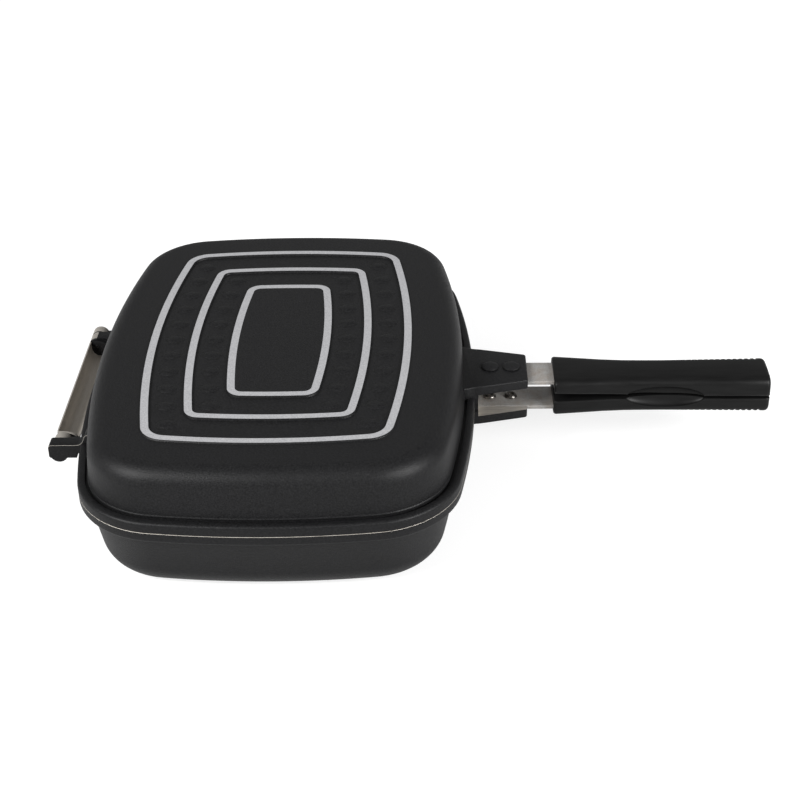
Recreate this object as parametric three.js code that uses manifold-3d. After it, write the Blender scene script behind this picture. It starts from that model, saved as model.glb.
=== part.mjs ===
// Double sided flip pan: a deep and a shallow cast aluminium pan, hinged along one side and closed on a
// silicone seal, each with a steel strap and a moulded half grip, and with an oil tray at the hinge.
// Millimetres, +Z up. The origin is the middle of the face that the closed pan stands on, and +X points
// along the handle. Each half is drawn once in its own frame, where h is the height above the parting
// plane, and the lower half is that drawing turned over.
import * as THREE from "three";
import { mergeVertices } from "three/addons/utils/BufferGeometryUtils.js";
import Module from "manifold-3d";

const wasm = await Module();
wasm.setup();

// Rim outline, shared by both pans: a rectangle with bowed sides and round corners
const RIM_HALF_LENGTH = 119.8;
const RIM_HALF_WIDTH = 159.5;
const RIM_CORNER_RADIUS = 54;
const RIM_SIDE_BOW_RADIUS = 640;
const RIM_END_BOW_RADIUS = 492;
const SIDE_STEPS = 2;
const CORNER_STEPS = 7;

// Castings
const UPPER_DEPTH = 35.6;
const LOWER_DEPTH = 47.2;
const UPPER_SHOULDER_RADIUS = 12;
const LOWER_SHOULDER_RADIUS = 18;
const UPPER_WALL_ANGLE = THREE.MathUtils.degToRad(86);
const LOWER_WALL_ANGLE = THREE.MathUtils.degToRad(80);
const UPPER_LEDGE_WIDTH = 6.4;
const LOWER_LEDGE_WIDTH = 5.6;
const FLANGE_HEIGHT = 6.4;
const WALL_THICKNESS = 3.2;
const RIM_EDGE_RADIUS = 1.2;
const PARTING_GAP = 0.3;
const SHOULDER_STEPS = 5;
const CUT_OVERRUN = 2;
const CLEARANCE = 0.3;

// Raised bands on the outside of each pan, drawn inwards from the widest
const BAND_WIDTH = 5;
const BAND_PITCH = 25.1;
const BAND_RISE = 0.8;
const CHANNEL_SINK = 0.5;
const BAND_DRAFT = 0.5;
const OUTER_BAND_HALF_LENGTH = 81;
const OUTER_BAND_HALF_WIDTH = 120.6;
const OUTER_BAND_CORNER_RADIUS = 16;
const MIDDLE_BAND_CORNER_RADIUS = 9.5;
const INNER_BAND_CORNER_RADIUS = 9.5;
const LEAST_CORNER_RADIUS = 2;

// Raised oval pads in the channels, along the two long sides
const PAD_HALF_LENGTH = 6.4;
const PAD_HALF_WIDTH = 5.2;
const PAD_TOP_SHARE = 0.62;
const PAD_RISE = 0.9;
const PAD_ROOT = 1;
const PAD_PITCH = 19.7;
const OUTER_PAD_ROWS = 11;
const INNER_PAD_ROWS = 9;
const PAD_STEPS = 10;

// Seal between the rims
const SEAL_INSET = 3.6;
const SEAL_GROOVE_WIDTH = 3.6;
const LOWER_GROOVE_DEPTH = 2.6;
const UPPER_GROOVE_DEPTH = 1.4;
const SEAL_BEVEL = 0.5;

// Handle strap and the bracket that holds it
const STRAP_WIDTH = 23.6;
const STRAP_THICKNESS = 2.5;
const STRAP_LIFT = 7.5;
const STRAP_LENGTH = 148;
const STRAP_START = 2.2;
const STRAP_END_RADIUS = 3;
const BRACKET_LENGTH = 32.6;
const BRACKET_END_HALF_WIDTH = 16;
const BRACKET_ROOT_HALF_WIDTH = 23.5;
const BRACKET_ROOT_FLARE = 2.4;
const BRACKET_PLATE = 3.3;
const BRACKET_EDGE = 1;
const BRACKET_CORNER_RADIUS = 1.4;
const BRACKET_ROOT_LENGTH = 1.8;
const BRACKET_EDGE_STEPS = 2;

// Rivets
const RIVET_RADIUS = 2.5;
const RIVET_HEAD_RADIUS = 5.5;
const RIVET_HEAD_HEIGHT = 1.9;
const RIVET_TAIL_RADIUS = 4;
const RIVET_TAIL_HEIGHT = 1.7;
const RIVET_FIRST = 9.6;
const RIVET_PITCH = 13.3;

// Grips
const GRIP_START = 49;
const GRIP_LENGTH = 133.5;
const GRIP_ROOT_HALF_WIDTH = 18.2;
const GRIP_WAIST_HALF_WIDTH = 15;
const GRIP_END_HALF_WIDTH = 16;
const GRIP_ROOT_HEIGHT = 13.2;
const GRIP_WAIST_HEIGHT = 12.1;
const GRIP_END_HEIGHT = 12.6;
const GRIP_ROOT_GAP = 4.5;
const GRIP_END_ROUND = 2.4;
const NOTCH_CENTRE = 68.7;
const NOTCH_LENGTH = 49;
const NOTCH_DEPTH = 4.4;
const NOTCH_RISE = 7.3;
const RIB_COUNT = 13;
const RIB_PITCH = 3.6;
const RIB_FROM_END = 6;
const RIB_GROOVE_RADIUS = 1.1;
const RIB_GROOVE_DEPTH = 0.8;
const RIB_GROOVE_LENGTH = 8;
const RIB_STEPS = 6;
const RIB_EDGE_SHARES = [0.92, 0.84];

// Grip screws and magnets
const SCREW_RADIUS = 2;
const SCREW_HEAD_RADIUS = 3.6;
const SCREW_HEAD_HEIGHT = 2;
const SCREW_SEAT = 5.6;
const SCREW_TIP = 1.1;
const FIRST_SCREW = 20;
const SECOND_SCREW = 88;
const MAGNET_RADIUS = 5;
const MAGNET_THICKNESS = 3;
const MAGNET_FROM_END = 13;

// Hinge: a pair of lugs and a pin at each end, and the oil tray between the pairs
const PIN_STANDOFF = 8.9;
const PIN_DROP = 1;
const BARREL_RADIUS = 5.4;
const LUG_RISE = 5.4;
const LUG_DROP = 3.3;
const LUG_REACH = 5.9;
const LUG_EDGE = 0.8;
const LUG_ROUND = 2;
const LUG_PAIR_INNER = 57.3;
const LOWER_LUG_THICKNESS = 7.7;
const UPPER_LUG_THICKNESS = 9;
const LOWER_NECK_DROP = 0.9;
const LUG_RIM_GAP = 1.6;
const GUSSET_RISE = 7.3;
const PIN_RADIUS = 3;
const PIN_RUNNING_CLEARANCE = 0.1;
const PIN_BEVEL = 0.5;
const PIN_COVER = 1.4;
const SPIGOT_RADIUS = 2;
const SPIGOT_REACH = 2.5;
const TRAY_SHEET = 0.8;
const TRAY_END_THICKNESS = 2.2;
const TRAY_RADIUS = 6;
const TRAY_OFFSET = 2.3;
const TRAY_DROP = 1.5;
const TRAY_LIP_RISE = 3.4;

const ROUND_STEPS = 20;
const RIVET_STEPS = 12;
const ARC_STEPS = 8;

// Places that follow from the sizes above
const LID_PARTING_FACE = PARTING_GAP / 2;
const PARTING_HEIGHT = LOWER_DEPTH + BAND_RISE;
const STRAP_TOP = STRAP_LIFT + STRAP_THICKNESS;
const BRACKET_FLOOR = STRAP_TOP + CLEARANCE;
const BRACKET_TOP = BRACKET_FLOOR + BRACKET_PLATE;
const BRACKET_END = RIM_HALF_LENGTH + BRACKET_LENGTH;
const STRAP_NEAR_END = RIM_HALF_LENGTH + STRAP_START;
const STRAP_FAR_END = STRAP_NEAR_END + STRAP_LENGTH;
const GRIP_NEAR_END = RIM_HALF_LENGTH + GRIP_START;
const GRIP_FAR_END = GRIP_NEAR_END + GRIP_LENGTH;
const RIVET_PLACES = [0, 1].map((i) => RIM_HALF_LENGTH + RIVET_FIRST + i * RIVET_PITCH);
const SCREW_PLACES = [FIRST_SCREW, SECOND_SCREW].map((along) => GRIP_NEAR_END + along);
const MAGNET_PLACE = GRIP_FAR_END - MAGNET_FROM_END;
const PIN_PLACE = -(RIM_HALF_LENGTH + PIN_STANDOFF);
const LUG_PAIR_OUTER = LUG_PAIR_INNER + LOWER_LUG_THICKNESS + CLEARANCE + UPPER_LUG_THICKNESS;
const TRAY_END_OUTER = LUG_PAIR_INNER - CLEARANCE;
const TRAY_END_INNER = TRAY_END_OUTER - TRAY_END_THICKNESS;
const TRAY_HALF_WIDTH = TRAY_END_INNER - CLEARANCE;
const TRAY_PLACE = PIN_PLACE + TRAY_OFFSET;

const material = (color, roughness, metalness) =>
  new THREE.MeshStandardMaterial({ color, roughness, metalness });
const castCoating = material(0x2d2d2e, 0.75, 0.1);
const strapSteel = material(0x9c9a97, 0.45, 0.9);
const stainlessSteel = material(0xb4afa6, 0.3, 1);
const coatedSteel = material(0x2b2b2c, 0.55, 0.4);
const gripPlastic = material(0x212122, 0.3, 0);
const siliconeRubber = material(0x55504c, 0.7, 0);
const magnetNickel = material(0x8d8d8f, 0.35, 1);

// A closed geometry as a solid that can be joined and cut.
function solid(geometry) {
  const bare = geometry.clone();
  bare.deleteAttribute("normal");
  bare.deleteAttribute("uv");
  const merged = mergeVertices(bare, 1e-4);
  const vertProperties = merged.attributes.position.array;
  const triVerts = new Uint32Array(merged.index.array);
  return new wasm.Manifold(new wasm.Mesh({ numProp: 3, vertProperties, triVerts }));
}

// The solid back as a geometry for a mesh.
function geometryOf(body) {
  const { vertProperties, triVerts } = body.getMesh();
  const geometry = new THREE.BufferGeometry();
  geometry.setAttribute("position", new THREE.BufferAttribute(vertProperties, 3));
  geometry.setIndex(new THREE.BufferAttribute(triVerts, 1));
  geometry.computeVertexNormals();
  return geometry;
}

function box(x0, x1, y0, y1, z0, z1) {
  const block = new THREE.BoxGeometry(x1 - x0, y1 - y0, z1 - z0);
  return solid(block.translate((x0 + x1) / 2, (y0 + y1) / 2, (z0 + z1) / 2));
}

// A cylinder that stands along Z.
function post(x, y, radius, z0, z1, steps = ROUND_STEPS) {
  const cylinder = new THREE.CylinderGeometry(radius, radius, z1 - z0, steps);
  return solid(cylinder.rotateX(Math.PI / 2).translate(x, y, (z0 + z1) / 2));
}

// A cylinder that lies along Y.
function bar(x, z, radius, y0, y1, steps = ROUND_STEPS) {
  const cylinder = new THREE.CylinderGeometry(radius, radius, y1 - y0, steps);
  return solid(cylinder.translate(x, (y0 + y1) / 2, z));
}

// A shape drawn in X and Z, given its thickness along Y.
function plateAcross(shape, y0, y1) {
  const options = { depth: y1 - y0, bevelEnabled: false, curveSegments: ARC_STEPS };
  const plate = new THREE.ExtrudeGeometry(shape, options);
  return solid(plate.rotateX(Math.PI / 2).translate(0, y1, 0));
}

// Points of a rectangle with bowed sides and round corners, which keep their count at any size.
function outline(halfLength, halfWidth, cornerRadius) {
  const sideRadius = RIM_SIDE_BOW_RADIUS - (RIM_HALF_LENGTH - halfLength);
  const endRadius = RIM_END_BOW_RADIUS - (RIM_HALF_WIDTH - halfWidth);
  const side = new THREE.Vector2(halfLength - sideRadius, 0);
  const end = new THREE.Vector2(0, halfWidth - endRadius);
  const toSide = sideRadius - cornerRadius;
  const toEnd = endRadius - cornerRadius;
  const between = side.distanceTo(end);
  const along = (toSide ** 2 - toEnd ** 2 + between ** 2) / (2 * between);
  const across = Math.sqrt(toSide ** 2 - along ** 2);
  const direction = end.clone().sub(side).divideScalar(between);
  const corner = side
    .clone()
    .addScaledVector(direction, along)
    .addScaledVector(new THREE.Vector2(-direction.y, direction.x), across);
  const sideAngle = corner.clone().sub(side).angle();
  const endAngle = corner.clone().sub(end).angle();
  const quarter = [
    ...arcPoints(side, sideRadius, 0, sideAngle, SIDE_STEPS),
    ...arcPoints(corner, cornerRadius, sideAngle, endAngle, CORNER_STEPS),
    ...arcPoints(end, endRadius, endAngle, Math.PI / 2, SIDE_STEPS),
  ];
  const start = new THREE.Vector2(halfLength, 0);
  const stop = quarter.at(-1);
  const inner = quarter.slice(0, -1);
  const flip = (points, x, y) => points.map((p) => new THREE.Vector2(p.x * x, p.y * y));
  return [
    start,
    ...inner,
    stop,
    ...flip(inner, -1, 1).reverse(),
    ...flip([start], -1, 1),
    ...flip(inner, -1, -1),
    ...flip([stop], 1, -1),
    ...flip(inner, 1, -1).reverse(),
  ];
}

function arcPoints(centre, radius, from, to, steps) {
  return Array.from({ length: steps }, (_, i) => {
    const angle = from + ((to - from) * (i + 1)) / steps;
    return new THREE.Vector2(centre.x + radius * Math.cos(angle), centre.y + radius * Math.sin(angle));
  });
}

// The rim outline moved inwards, at height h.
function rimLevel(inset, h) {
  const corner = Math.max(RIM_CORNER_RADIUS - inset, LEAST_CORNER_RADIUS);
  return { h, points: outline(RIM_HALF_LENGTH - inset, RIM_HALF_WIDTH - inset, corner) };
}

// A closed skin over a stack of outlines, which starts and ends at a point on the middle axis.
function skin(levels) {
  const count = levels[0].points.length;
  const positions = [0, 0, levels[0].h];
  levels.forEach(({ points, h }) => points.forEach((p) => positions.push(p.x, p.y, h)));
  positions.push(0, 0, levels.at(-1).h);
  const last = 1 + levels.length * count;
  const index = [];
  for (let i = 0; i < count; i++) {
    const j = (i + 1) % count;
    index.push(0, 1 + i, 1 + j);
    for (let level = 1; level < levels.length; level++) {
      const a = 1 + (level - 1) * count;
      const b = a + count;
      index.push(a + i, b + i, b + j, a + i, b + j, a + j);
    }
    index.push(last - count + i, last, last - count + j);
  }
  const geometry = new THREE.BufferGeometry();
  geometry.setAttribute("position", new THREE.Float32BufferAttribute(positions, 3));
  geometry.setIndex(index);
  return solid(geometry);
}

// The raised bands on the outside: each is a flat ridge with sloping flanks, and the innermost is filled.
function bandLevels(depth) {
  const top = depth + BAND_RISE;
  const floor = depth - CHANNEL_SINK;
  const corners = [OUTER_BAND_CORNER_RADIUS, MIDDLE_BAND_CORNER_RADIUS, INNER_BAND_CORNER_RADIUS];
  const level = (i, inset, h) => {
    const move = i * BAND_PITCH + inset;
    const corner = Math.max(corners[i] - inset, LEAST_CORNER_RADIUS);
    return { h, points: outline(OUTER_BAND_HALF_LENGTH - move, OUTER_BAND_HALF_WIDTH - move, corner) };
  };
  const inwards = corners.flatMap((_, i) => [
    level(i, -BAND_DRAFT, i ? floor : depth),
    level(i, 0, top),
    ...(i < corners.length - 1 ? [level(i, BAND_WIDTH, top), level(i, BAND_WIDTH + BAND_DRAFT, floor)] : []),
  ]);
  return inwards.reverse();
}

// Oval pads along the two long sides of each channel, in rows that follow the bowed bands.
function pads(depth) {
  const low = depth - CHANNEL_SINK - PAD_ROOT;
  const height = PAD_ROOT + PAD_RISE;
  const oval = new THREE.CylinderGeometry(PAD_TOP_SHARE, 1, height, PAD_STEPS).rotateX(Math.PI / 2);
  oval.scale(PAD_HALF_LENGTH, PAD_HALF_WIDTH, 1).translate(0, 0, low + height / 2);
  return [OUTER_PAD_ROWS, INNER_PAD_ROWS].flatMap((rows, channel) => {
    const middle = OUTER_BAND_HALF_LENGTH - channel * BAND_PITCH - (BAND_WIDTH + BAND_PITCH) / 2;
    const bow = RIM_SIDE_BOW_RADIUS - (RIM_HALF_LENGTH - middle);
    return Array.from({ length: rows }, (_, row) => {
      const y = (row - (rows - 1) / 2) * PAD_PITCH;
      const x = middle - bow + Math.sqrt(bow ** 2 - y ** 2);
      return [solid(oval.clone().translate(x, y, 0)), solid(oval.clone().translate(-x, y, 0))];
    }).flat();
  });
}

// One pan without its bracket and lugs.
function castShell({ depth, shoulderRadius, wallAngle, ledgeWidth, grooveDepth }) {
  const slope = Math.tan(wallAngle);
  const wallTop = depth - shoulderRadius * (1 - Math.cos(wallAngle));
  const flatInset = ledgeWidth + (wallTop - FLANGE_HEIGHT) / slope + shoulderRadius * Math.sin(wallAngle);
  const arc = (radius) =>
    Array.from({ length: SHOULDER_STEPS + 1 }, (_, i) => {
      const angle = (wallAngle * i) / SHOULDER_STEPS;
      const h = depth - shoulderRadius + radius * Math.cos(angle);
      return rimLevel(flatInset - radius * Math.sin(angle), h);
    });
  const innerFoot = WALL_THICKNESS / Math.sin(wallAngle) - (FLANGE_HEIGHT - LID_PARTING_FACE) / slope;
  return skin([
    ...bandLevels(depth),
    ...arc(shoulderRadius),
    rimLevel(ledgeWidth, FLANGE_HEIGHT),
    rimLevel(RIM_EDGE_RADIUS, FLANGE_HEIGHT),
    rimLevel(0, FLANGE_HEIGHT - RIM_EDGE_RADIUS),
    rimLevel(0, LID_PARTING_FACE),
    rimLevel(SEAL_INSET, LID_PARTING_FACE),
    rimLevel(SEAL_INSET, LID_PARTING_FACE + grooveDepth),
    rimLevel(SEAL_INSET + SEAL_GROOVE_WIDTH, LID_PARTING_FACE + grooveDepth),
    rimLevel(SEAL_INSET + SEAL_GROOVE_WIDTH, LID_PARTING_FACE),
    rimLevel(ledgeWidth + innerFoot, LID_PARTING_FACE),
    ...arc(shoulderRadius - WALL_THICKNESS).reverse(),
  ]);
}

// Bracket for the strap: a flared plate with two side walls, open towards the parting plane.
function bracket({ ledgeWidth }) {
  const root = RIM_HALF_LENGTH - ledgeWidth - WALL_THICKNESS / 2;
  const rootEnd = RIM_HALF_LENGTH + BRACKET_ROOT_LENGTH;
  const edge = BRACKET_END_HALF_WIDTH - BRACKET_EDGE;
  const flare = BRACKET_ROOT_HALF_WIDTH - BRACKET_EDGE;
  const end = BRACKET_END - BRACKET_EDGE;
  const shoulder = RIM_HALF_LENGTH - ledgeWidth;
  const bend = RIM_HALF_LENGTH - ledgeWidth / 2;
  const straight = rootEnd + BRACKET_ROOT_FLARE / 2;
  const plan = new THREE.Shape();
  plan.moveTo(root, -flare - BRACKET_ROOT_FLARE);
  plan.lineTo(shoulder, -flare - BRACKET_ROOT_FLARE);
  plan.quadraticCurveTo(bend, -flare, straight, -flare);
  plan.lineTo(end - BRACKET_CORNER_RADIUS, -edge);
  plan.quadraticCurveTo(end, -edge, end, -edge + BRACKET_CORNER_RADIUS);
  plan.lineTo(end, edge - BRACKET_CORNER_RADIUS);
  plan.quadraticCurveTo(end, edge, end - BRACKET_CORNER_RADIUS, edge);
  plan.lineTo(straight, flare);
  plan.quadraticCurveTo(bend, flare, shoulder, flare + BRACKET_ROOT_FLARE);
  plan.lineTo(root, flare + BRACKET_ROOT_FLARE);
  plan.closePath();
  const raised = new THREE.ExtrudeGeometry(plan, {
    depth: BRACKET_TOP - STRAP_LIFT - BRACKET_EDGE,
    bevelThickness: BRACKET_EDGE,
    bevelSize: BRACKET_EDGE,
    bevelSegments: BRACKET_EDGE_STEPS,
    curveSegments: BRACKET_EDGE_STEPS + 1,
  }).translate(0, 0, STRAP_LIFT);
  const overRim = box(root, rootEnd, -flare, flare, FLANGE_HEIGHT / 2, BRACKET_TOP - BRACKET_EDGE);
  const lip = RIM_HALF_LENGTH - SEAL_INSET / 2;
  const foot = box(lip, rootEnd, -flare, flare, LID_PARTING_FACE, FLANGE_HEIGHT);
  const slotHalf = STRAP_WIDTH / 2 + CLEARANCE;
  const slotStart = STRAP_NEAR_END - CLEARANCE;
  const slot = box(slotStart, BRACKET_END + CUT_OVERRUN, -slotHalf, slotHalf, -CUT_OVERRUN, BRACKET_FLOOR);
  const wide = BRACKET_ROOT_HALF_WIDTH + BRACKET_ROOT_FLARE;
  const seat = box(slotStart, BRACKET_END + CUT_OVERRUN, -wide, wide, -CUT_OVERRUN, STRAP_LIFT + CLEARANCE);
  let body = solid(raised).add(overRim).add(foot).subtract(slot).subtract(seat);
  for (const x of RIVET_PLACES) {
    const hole = post(x, 0, RIVET_RADIUS + CLEARANCE, STRAP_LIFT, BRACKET_TOP + CUT_OVERRUN, RIVET_STEPS);
    body = body.subtract(hole);
  }
  return body;
}

// X of the hinge side of the rim, which bows outwards in the middle.
function hingeRim(y) {
  return -(RIM_HALF_LENGTH - RIM_SIDE_BOW_RADIUS + Math.sqrt(RIM_SIDE_BOW_RADIUS ** 2 - y ** 2));
}

// The root of every lug's outline, from height low beside the rim to height high there: it grips the rim and
// climbs to the pan's wall as a gusset with a curved top.
function lugRoot(shape, inner, outer, low, high, { ledgeWidth }) {
  const rim = hingeRim(inner);
  const wall = hingeRim(outer) + ledgeWidth + WALL_THICKNESS / 2;
  const clear = rim - LUG_RIM_GAP;
  const middle = (clear + wall) / 2;
  shape.lineTo(clear, low);
  shape.lineTo(clear, LID_PARTING_FACE);
  shape.lineTo(rim + SEAL_INSET / 2, LID_PARTING_FACE);
  shape.lineTo(rim + SEAL_INSET / 2, FLANGE_HEIGHT / 2);
  shape.lineTo(wall, FLANGE_HEIGHT / 2);
  shape.lineTo(wall, high + GUSSET_RISE);
  shape.bezierCurveTo(middle, high + GUSSET_RISE, middle, high, clear, high);
}

// Outer lug of the upper pan: a square block over the pin, with the round of the barrel under it.
function blockLug(inner, outer, spec) {
  const tip = PIN_PLACE - LUG_REACH;
  const arm = new THREE.Shape();
  arm.moveTo(tip + LUG_EDGE, -LUG_DROP);
  lugRoot(arm, inner, outer, -LUG_DROP, LUG_RISE, spec);
  arm.lineTo(tip + LUG_ROUND, LUG_RISE);
  arm.quadraticCurveTo(tip, LUG_RISE, tip, LUG_RISE - LUG_ROUND);
  arm.lineTo(tip, LUG_EDGE - LUG_DROP);
  arm.closePath();
  return plateAcross(arm, inner, outer).add(bar(PIN_PLACE, -PIN_DROP, BARREL_RADIUS, inner, outer));
}

// The other lugs: a round knuckle on a neck that meets it flush on the side of its own pan.
function knuckleLug(inner, outer, spec) {
  const high = spec.pinHeight + BARREL_RADIUS;
  const neck = new THREE.Shape();
  neck.moveTo(PIN_PLACE, -spec.neckDrop);
  lugRoot(neck, inner, outer, -spec.neckDrop, high, spec);
  neck.lineTo(PIN_PLACE, high);
  neck.closePath();
  return plateAcross(neck, inner, outer).add(bar(PIN_PLACE, spec.pinHeight, BARREL_RADIUS, inner, outer));
}

// A pan's two lugs, each bored for its pin. At its own +Y end it has the inner lug of the pair, which the pin
// goes through, and at the other end the outer lug, which the pin ends in.
function lugs(spec) {
  const reach = LUG_PAIR_INNER + spec.lugThickness;
  const start = LUG_PAIR_OUTER - spec.lugThickness;
  const bore = (from, to) =>
    bar(PIN_PLACE, spec.pinHeight, PIN_RADIUS + PIN_RUNNING_CLEARANCE, from - CUT_OVERRUN, to);
  const inner = knuckleLug(LUG_PAIR_INNER, reach, spec).subtract(bore(LUG_PAIR_INNER, reach + CUT_OVERRUN));
  const outer = spec.outerLug(start, LUG_PAIR_OUTER, spec).subtract(bore(start, LUG_PAIR_OUTER - PIN_COVER));
  return [inner, outer.mirror([0, 1, 0])];
}

function pan(spec) {
  const pieces = [bracket(spec), ...lugs(spec), ...pads(spec.depth)];
  return pieces.reduce((whole, next) => whole.add(next), castShell(spec));
}

// Flat steel strap with holes for its rivets and for the grip screws.
function strap() {
  const half = STRAP_WIDTH / 2;
  const plan = new THREE.Shape();
  plan.moveTo(STRAP_NEAR_END, -half);
  plan.lineTo(STRAP_FAR_END - STRAP_END_RADIUS, -half);
  plan.quadraticCurveTo(STRAP_FAR_END, -half, STRAP_FAR_END, -half + STRAP_END_RADIUS);
  plan.lineTo(STRAP_FAR_END, half - STRAP_END_RADIUS);
  plan.quadraticCurveTo(STRAP_FAR_END, half, STRAP_FAR_END - STRAP_END_RADIUS, half);
  plan.lineTo(STRAP_NEAR_END, half);
  plan.closePath();
  const flat = new THREE.ExtrudeGeometry(plan, { depth: STRAP_THICKNESS, bevelEnabled: false });
  let body = solid(flat.translate(0, 0, STRAP_LIFT));
  const holes = [
    ...RIVET_PLACES.map((x) => [x, RIVET_RADIUS]),
    ...SCREW_PLACES.map((x) => [x, SCREW_RADIUS]),
  ];
  for (const [x, radius] of holes) {
    const ends = [STRAP_LIFT - CUT_OVERRUN, STRAP_TOP + CUT_OVERRUN];
    const hole = post(x, 0, radius + CLEARANCE, ...ends, RIVET_STEPS);
    body = body.subtract(hole);
  }
  return body;
}

// A piece turned about Z: its profile runs from the axis out and back, in radius and height.
function turned(profile, steps = RIVET_STEPS) {
  const points = profile.map(([radius, height]) => new THREE.Vector2(radius, height));
  return new THREE.LatheGeometry(points, steps).rotateX(Math.PI / 2);
}

const DOME_SHARES = [0.96, 0.82, 0.55];

// A domed cap over height z, from its edge to the axis, as profile points.
function domePoints(radius, z, height) {
  const rise = DOME_SHARES.map((share) => [radius * share, z + height * Math.sqrt(1 - share ** 2)]);
  return [[radius, z], ...rise, [0, z + height]];
}

function rivet() {
  const seat = BRACKET_TOP + CLEARANCE;
  const tail = STRAP_LIFT - CLEARANCE;
  return turned([
    [0, tail - RIVET_TAIL_HEIGHT],
    [RIVET_TAIL_RADIUS / 2, tail - RIVET_TAIL_HEIGHT],
    [RIVET_TAIL_RADIUS, tail],
    [RIVET_RADIUS, tail],
    [RIVET_RADIUS, seat],
    ...domePoints(RIVET_HEAD_RADIUS, seat, RIVET_HEAD_HEIGHT),
  ]);
}

// Sections of the half grip along its length: where each lies, how wide and high it is, and the height of
// its open edge above the parting plane.
function gripStations() {
  const waist = NOTCH_CENTRE - NOTCH_LENGTH / 2;
  const lip = LID_PARTING_FACE;
  const near = { x: 0, halfWidth: GRIP_ROOT_HALF_WIDTH, height: GRIP_ROOT_HEIGHT, edge: GRIP_ROOT_GAP };
  const far = { x: GRIP_LENGTH, halfWidth: GRIP_END_HALF_WIDTH, height: GRIP_END_HEIGHT, edge: lip };
  return [
    shrink(near, GRIP_END_ROUND / 4),
    { ...near, x: GRIP_END_ROUND / 4 },
    { x: (waist * 2) / 5, halfWidth: (GRIP_ROOT_HALF_WIDTH + GRIP_WAIST_HALF_WIDTH) / 2,
      height: (GRIP_ROOT_HEIGHT + GRIP_WAIST_HEIGHT) / 2, edge: (GRIP_ROOT_GAP * 3) / 4 },
    { x: waist, halfWidth: GRIP_WAIST_HALF_WIDTH, height: GRIP_WAIST_HEIGHT, edge: (GRIP_ROOT_GAP * 2) / 5 },
    { x: NOTCH_CENTRE, halfWidth: GRIP_WAIST_HALF_WIDTH, height: GRIP_WAIST_HEIGHT, edge: lip },
    { ...far, x: GRIP_LENGTH - GRIP_END_ROUND },
    { ...shrink(far, GRIP_END_ROUND / 6), x: GRIP_LENGTH - GRIP_END_ROUND / 4 },
    shrink(far, GRIP_END_ROUND / 2),
  ];
}

function shrink(station, by) {
  return { ...station, halfWidth: station.halfWidth - by, height: station.height - by };
}

const GRIP_SECTION_SHARES = [
  [0.97, 0],
  [1, 0.06],
  [1, 0.45],
  [0.97, 0.66],
  [0.9, 0.84],
  [0.74, 0.96],
  [0.5, 1],
];

function gripSection({ x, halfWidth, height, edge }) {
  const side = GRIP_SECTION_SHARES.map(([across, up]) => [halfWidth * across, edge + (height - edge) * up]);
  const loop = [...side, ...side.map(([y, z]) => [-y, z]).reverse()];
  return loop.map(([y, z]) => new THREE.Vector3(GRIP_NEAR_END + x, y, z));
}

// A closed skin over sections that follow each other along X.
function loft(sections) {
  const count = sections[0].length;
  const positions = sections.flat().flatMap((p) => [p.x, p.y, p.z]);
  const cap = THREE.ShapeUtils.triangulateShape(sections[0].map((p) => new THREE.Vector2(p.y, p.z)), []);
  const start = (sections.length - 1) * count;
  const index = [];
  cap.forEach(([a, b, c]) => index.push(c, b, a, start + a, start + b, start + c));
  for (let section = 0; section < sections.length - 1; section++) {
    for (let i = 0; i < count; i++) {
      const a = section * count + i;
      const b = section * count + ((i + 1) % count);
      index.push(a, b, b + count, a, b + count, a + count);
    }
  }
  const geometry = new THREE.BufferGeometry();
  geometry.setAttribute("position", new THREE.Float32BufferAttribute(positions, 3));
  geometry.setIndex(index);
  return solid(geometry);
}

// Grooves across the long outer edges of a grip, which leave a row of ribs between them.
function ribGrooves() {
  const [across, up] = RIB_EDGE_SHARES;
  const out = (RIB_GROOVE_RADIUS - RIB_GROOVE_DEPTH) * Math.SQRT1_2;
  const y = GRIP_END_HALF_WIDTH * across + out;
  const z = GRIP_END_HEIGHT * up + out;
  const cutter = [RIB_GROOVE_RADIUS, RIB_GROOVE_RADIUS, RIB_GROOVE_LENGTH, RIB_STEPS];
  return [-1, 1].flatMap((side) => {
    const groove = new THREE.CylinderGeometry(...cutter).rotateX((-side * Math.PI) / 4);
    return Array.from({ length: RIB_COUNT }, (_, i) =>
      solid(groove.clone().translate(GRIP_FAR_END - RIB_FROM_END - i * RIB_PITCH, side * y, z)),
    );
  });
}

// Half grip: a moulded block round the strap, with a finger notch on each side, ribbed edges, and recesses
// in its inner face for the screws and the magnet.
function grip() {
  let body = loft(gripStations().map(gripSection));
  const half = STRAP_WIDTH / 2 + CLEARANCE;
  const strapEnds = [GRIP_NEAR_END - CUT_OVERRUN, STRAP_FAR_END + CLEARANCE];
  body = body.subtract(box(...strapEnds, -half, half, STRAP_LIFT - CLEARANCE, STRAP_TOP + CLEARANCE));
  const notchShape = new THREE.SphereGeometry(1, ROUND_STEPS, ARC_STEPS);
  notchShape.scale(NOTCH_LENGTH / 2, NOTCH_DEPTH, NOTCH_RISE);
  for (const groove of ribGrooves()) body = body.subtract(groove);
  for (const side of [-1, 1]) {
    const notch = notchShape.clone().translate(GRIP_NEAR_END + NOTCH_CENTRE, side * GRIP_WAIST_HALF_WIDTH, 0);
    body = body.subtract(solid(notch));
  }
  for (const x of SCREW_PLACES) {
    const shaft = post(x, 0, SCREW_RADIUS + CLEARANCE, 0, STRAP_TOP + SCREW_TIP + CLEARANCE, RIVET_STEPS);
    const sink = post(x, 0, SCREW_HEAD_RADIUS + CLEARANCE, -CUT_OVERRUN, SCREW_SEAT, RIVET_STEPS);
    body = body.subtract(shaft).subtract(sink);
  }
  const recess = LID_PARTING_FACE + MAGNET_THICKNESS + CLEARANCE;
  return body.subtract(post(MAGNET_PLACE, 0, MAGNET_RADIUS + CLEARANCE, -CUT_OVERRUN, recess));
}

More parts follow.
